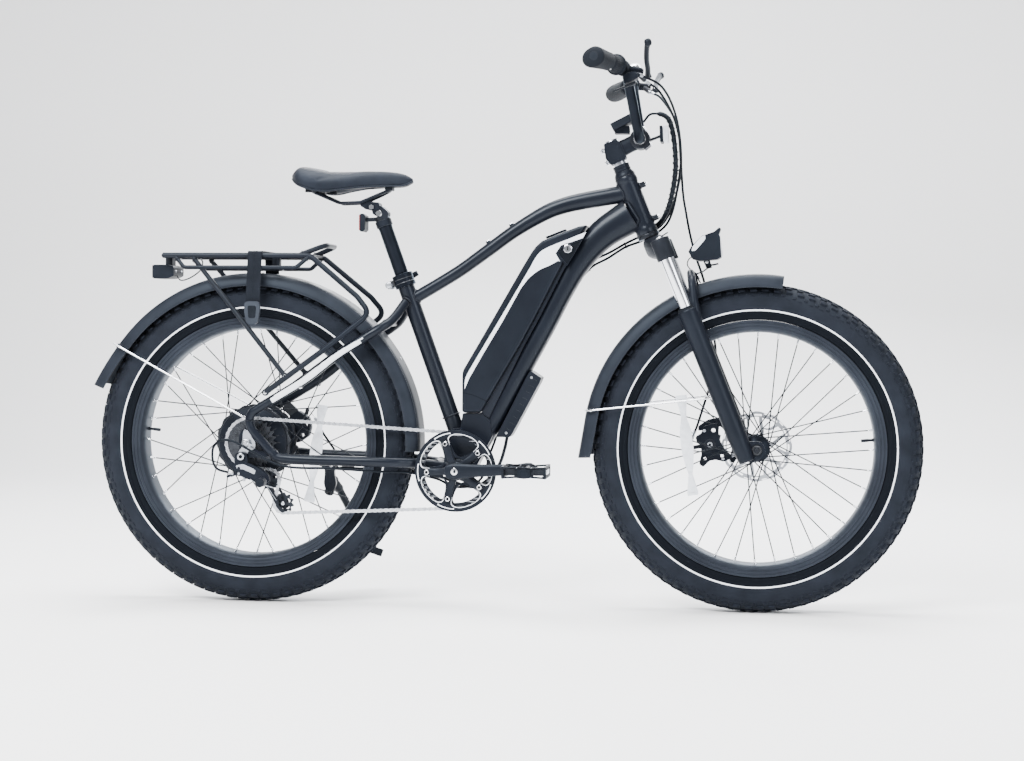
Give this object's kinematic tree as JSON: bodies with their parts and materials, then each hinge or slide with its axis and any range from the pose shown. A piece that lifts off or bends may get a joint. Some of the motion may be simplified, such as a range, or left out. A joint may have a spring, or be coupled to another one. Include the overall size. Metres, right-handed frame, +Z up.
{
  "type": "electric bicycle",
  "caption": "Fat-tyre electric bicycle with rear hub motor, battery on the down tube, suspension fork, disc brakes, rear rack and mudguards.",
  "frame": {"origin": "centre of the bounding box at ground level, where both tyres stand; the bicycle stands upright", "axes": "+X forward, +Y to the rider's left, +Z up"},
  "size_m": [1.8901, 0.6994, 1.2445],
  "materials": {
    "frame_black": "satin",
    "satin_black": "satin",
    "black_alloy": "anodised satin",
    "silver_alloy": "satin",
    "steel": "brushed",
    "chrome": "polished",
    "tyre_rubber": "matte",
    "grip_rubber": "matte",
    "plastic": "matte",
    "battery_plastic": "satin",
    "saddle_skin": "satin",
    "cable_jacket": "satin",
    "webbing": "woven elastic",
    "lamp_housing": "gloss",
    "red_lens": "gloss",
    "fender_black": "satin"
  },
  "bodies": {
    "frame": {"frame": "frame_black", "controller_box": "satin_black", "seat_collar": "black_alloy", "rear_rack": "satin_black", "tail_light": "red_lens", "rear_fender": "fender_black", "rear_axle": "steel", "rear_caliper": "black_alloy", "chain": "chrome", "rack_strap": "webbing", "rear_brake_cable": "cable_jacket", "shift_cable": "cable_jacket", "main_harness": "cable_jacket", "motor_cable": "cable_jacket"},
    "battery_case": {"battery": "battery_plastic"},
    "battery_key": {"battery_lock": "silver_alloy"},
    "seat": {"seatpost": "black_alloy", "saddle": "saddle_skin", "saddle_rails": "steel"},
    "qr_lever": {"seat_qr_lever": "silver_alloy"},
    "kickstand": {"kickstand_leg": "satin_black"},
    "crank": {"crank_right": "black_alloy", "crank_left": "black_alloy", "chainring": "black_alloy"},
    "pedal_r": {"pedal_right": "plastic"},
    "pedal_l": {"pedal_left": "plastic"},
    "cogs": {"freewheel": "steel"},
    "rear_wheel": {"rear_tyre": "tyre_rubber", "rear_rim": "satin_black", "hub_motor": "black_alloy", "rear_rotor": "steel"},
    "derailleur": {"derailleur_body": "black_alloy"},
    "cage": {"derailleur_cage": "black_alloy"},
    "jockey_upper": {"upper_pulley": "plastic"},
    "jockey_lower": {"lower_pulley": "plastic"},
    "rear_brake_arm": {"rear_caliper_arm": "black_alloy"},
    "steering_head": {"fork_crown": "black_alloy", "stem": "black_alloy", "handlebar": "black_alloy", "grip_left": "grip_rubber", "grip_right": "grip_rubber", "brake_perch_left": "black_alloy", "brake_perch_right": "black_alloy", "display": "plastic", "bell": "chrome", "front_brake_cable": "cable_jacket"},
    "twist_throttle": {"throttle": "grip_rubber"},
    "lever_left": {"brake_lever_left": "black_alloy"},
    "lever_right": {"brake_lever_right": "black_alloy"},
    "shifter": {"shift_lever": "plastic"},
    "lowers": {"fork_lowers": "satin_black", "front_axle": "steel", "front_fender": "fender_black", "front_caliper": "black_alloy"},
    "front_brake_arm": {"front_caliper_arm": "black_alloy"},
    "front_wheel": {"front_tyre": "tyre_rubber", "front_rim": "satin_black", "front_hub": "black_alloy", "front_rotor": "steel"},
    "lamp": {"headlight": "lamp_housing"}
  },
  "joints": [
    {"name": "steering", "type": "hinge", "parent": "frame", "child": "steering_head", "pos_m": [0.3003, 0, 0.919], "axis": [-0.3746, 0, 0.9272], "range_deg": [-60, 60], "deforming": ["rear_brake_cable", "shift_cable", "main_harness"]},
    {"name": "fork_travel", "type": "slide", "parent": "steering_head", "child": "lowers", "axis": [-0.3746, 0, 0.9272], "range_m": [0, 0.06], "stiffness_N_per_m": 9000, "springref_m": -0.02, "deforming": ["front_brake_cable"]},
    {"name": "front_wheel_spin", "type": "hinge", "parent": "lowers", "child": "front_wheel", "pos_m": [0.5771, 0, 0.368], "axis": [0, 1, 0], "continuous": true},
    {"name": "rear_wheel_spin", "type": "hinge", "parent": "frame", "child": "rear_wheel", "pos_m": [-0.5682, 0, 0.368], "axis": [0, 1, 0], "continuous": true},
    {"name": "crank_spin", "type": "hinge", "parent": "frame", "child": "crank", "pos_m": [-0.0932, 0, 0.312], "axis": [0, 1, 0], "continuous": true},
    {"name": "pedal_right_spin", "type": "hinge", "parent": "crank", "child": "pedal_r", "pos_m": [0.0766, -0.12, 0.3209], "axis": [0, 1, 0], "continuous": true},
    {"name": "pedal_left_spin", "type": "hinge", "parent": "crank", "child": "pedal_l", "pos_m": [-0.263, 0.12, 0.3031], "axis": [0, 1, 0], "continuous": true},
    {"name": "freewheel_spin", "type": "hinge", "parent": "frame", "child": "cogs", "pos_m": [-0.5682, 0, 0.368], "axis": [0, 1, 0], "continuous": true},
    {"name": "derailleur_shift", "type": "slide", "parent": "frame", "child": "derailleur", "axis": [0, -1, 0], "range_m": [0, 0.024], "deforming": ["chain", "shift_cable"]},
    {"name": "cage_tension", "type": "hinge", "parent": "derailleur", "child": "cage", "pos_m": [-0.5232, -0.06, 0.285], "axis": [0, 1, 0], "range_deg": [-18, 25], "stiffness_Nm_per_rad": 0.6, "deforming": ["chain"]},
    {"name": "upper_jockey_spin", "type": "hinge", "parent": "cage", "child": "jockey_upper", "pos_m": [-0.5232, -0.06, 0.285], "axis": [0, 1, 0], "continuous": true},
    {"name": "lower_jockey_spin", "type": "hinge", "parent": "cage", "child": "jockey_lower", "pos_m": [-0.4912, -0.06, 0.231], "axis": [0, 1, 0], "continuous": true},
    {"name": "kickstand_fold", "type": "hinge", "parent": "frame", "child": "kickstand", "pos_m": [-0.4162, 0.1125, 0.262], "axis": [0.0965, 0.7488, 0.6558], "range_deg": [0, 100]},
    {"name": "battery_tilt", "type": "hinge", "parent": "frame", "child": "battery_case", "pos_m": [-0.0412, 0, 0.441], "axis": [0, -1, 0], "range_deg": [0, 5]},
    {"name": "key_turn", "type": "hinge", "parent": "battery_case", "child": "battery_key", "pos_m": [0.1528, -0.0435, 0.812], "axis": [0, -1, 0], "range_deg": [0, 90]},
    {"name": "seat_height", "type": "slide", "parent": "frame", "child": "seat", "axis": [-0.3387, 0, 0.9409], "range_m": [-0.08, 0.08]},
    {"name": "qr_open", "type": "hinge", "parent": "frame", "child": "qr_lever", "pos_m": [-0.25812, 0, 0.72838], "axis": [-0.3387, 0, 0.9409], "range_deg": [0, 120]},
    {"name": "rear_brake_arm_turn", "type": "hinge", "parent": "frame", "child": "rear_brake_arm", "pos_m": [-0.4782, 0.0803, 0.4], "axis": [0, 1, 0], "range_deg": [0, 18], "deforming": ["rear_brake_cable"]},
    {"name": "front_brake_arm_turn", "type": "hinge", "parent": "lowers", "child": "front_brake_arm", "pos_m": [0.47192, 0.0723, 0.37142], "axis": [0, 1, 0], "range_deg": [0, 18], "deforming": ["front_brake_cable"]},
    {"name": "brake_lever_left_squeeze", "type": "hinge", "parent": "steering_head", "child": "lever_left", "pos_m": [0.33207, 0.146, 1.18206], "axis": [-0.3746, 0, 0.9272], "range_deg": [0, 22], "stiffness_Nm_per_rad": 1.2, "springref_deg": -8.59},
    {"name": "brake_lever_right_squeeze", "type": "hinge", "parent": "steering_head", "child": "lever_right", "pos_m": [0.33207, -0.146, 1.18206], "axis": [0.3746, 0, -0.9272], "range_deg": [0, 22], "stiffness_Nm_per_rad": 1.2, "springref_deg": -8.59},
    {"name": "throttle_twist", "type": "hinge", "parent": "steering_head", "child": "twist_throttle", "pos_m": [0.27064, -0.206, 1.19996], "axis": [-0.2665, -0.9638, 0.0117], "range_deg": [0, 60], "stiffness_Nm_per_rad": 0.4, "springref_deg": -8.59},
    {"name": "shift_lever_press", "type": "hinge", "parent": "steering_head", "child": "shifter", "pos_m": [0.30242, -0.178, 1.16468], "axis": [-0.3746, 0, 0.9272], "range_deg": [0, 30]},
    {"name": "headlight_tilt", "type": "hinge", "parent": "lowers", "child": "lamp", "pos_m": [0.4627, 0, 0.784], "axis": [0, 1, 0], "range_deg": [-10, 12]}
  ],
  "couplings": [
    {"joint": "freewheel_spin", "follows": "crank_spin", "ratio": 1.5},
    {"joint": "upper_jockey_spin", "follows": "crank_spin", "ratio": -3.8182},
    {"joint": "lower_jockey_spin", "follows": "crank_spin", "ratio": 3.8182},
    {"joint": "shift_lever_press", "follows": "derailleur_shift", "rad_per_m": 21.8},
    {"joint": "rear_brake_arm_turn", "follows": "brake_lever_right_squeeze", "ratio": 0.8},
    {"joint": "front_brake_arm_turn", "follows": "brake_lever_left_squeeze", "ratio": 0.8}
  ]
}
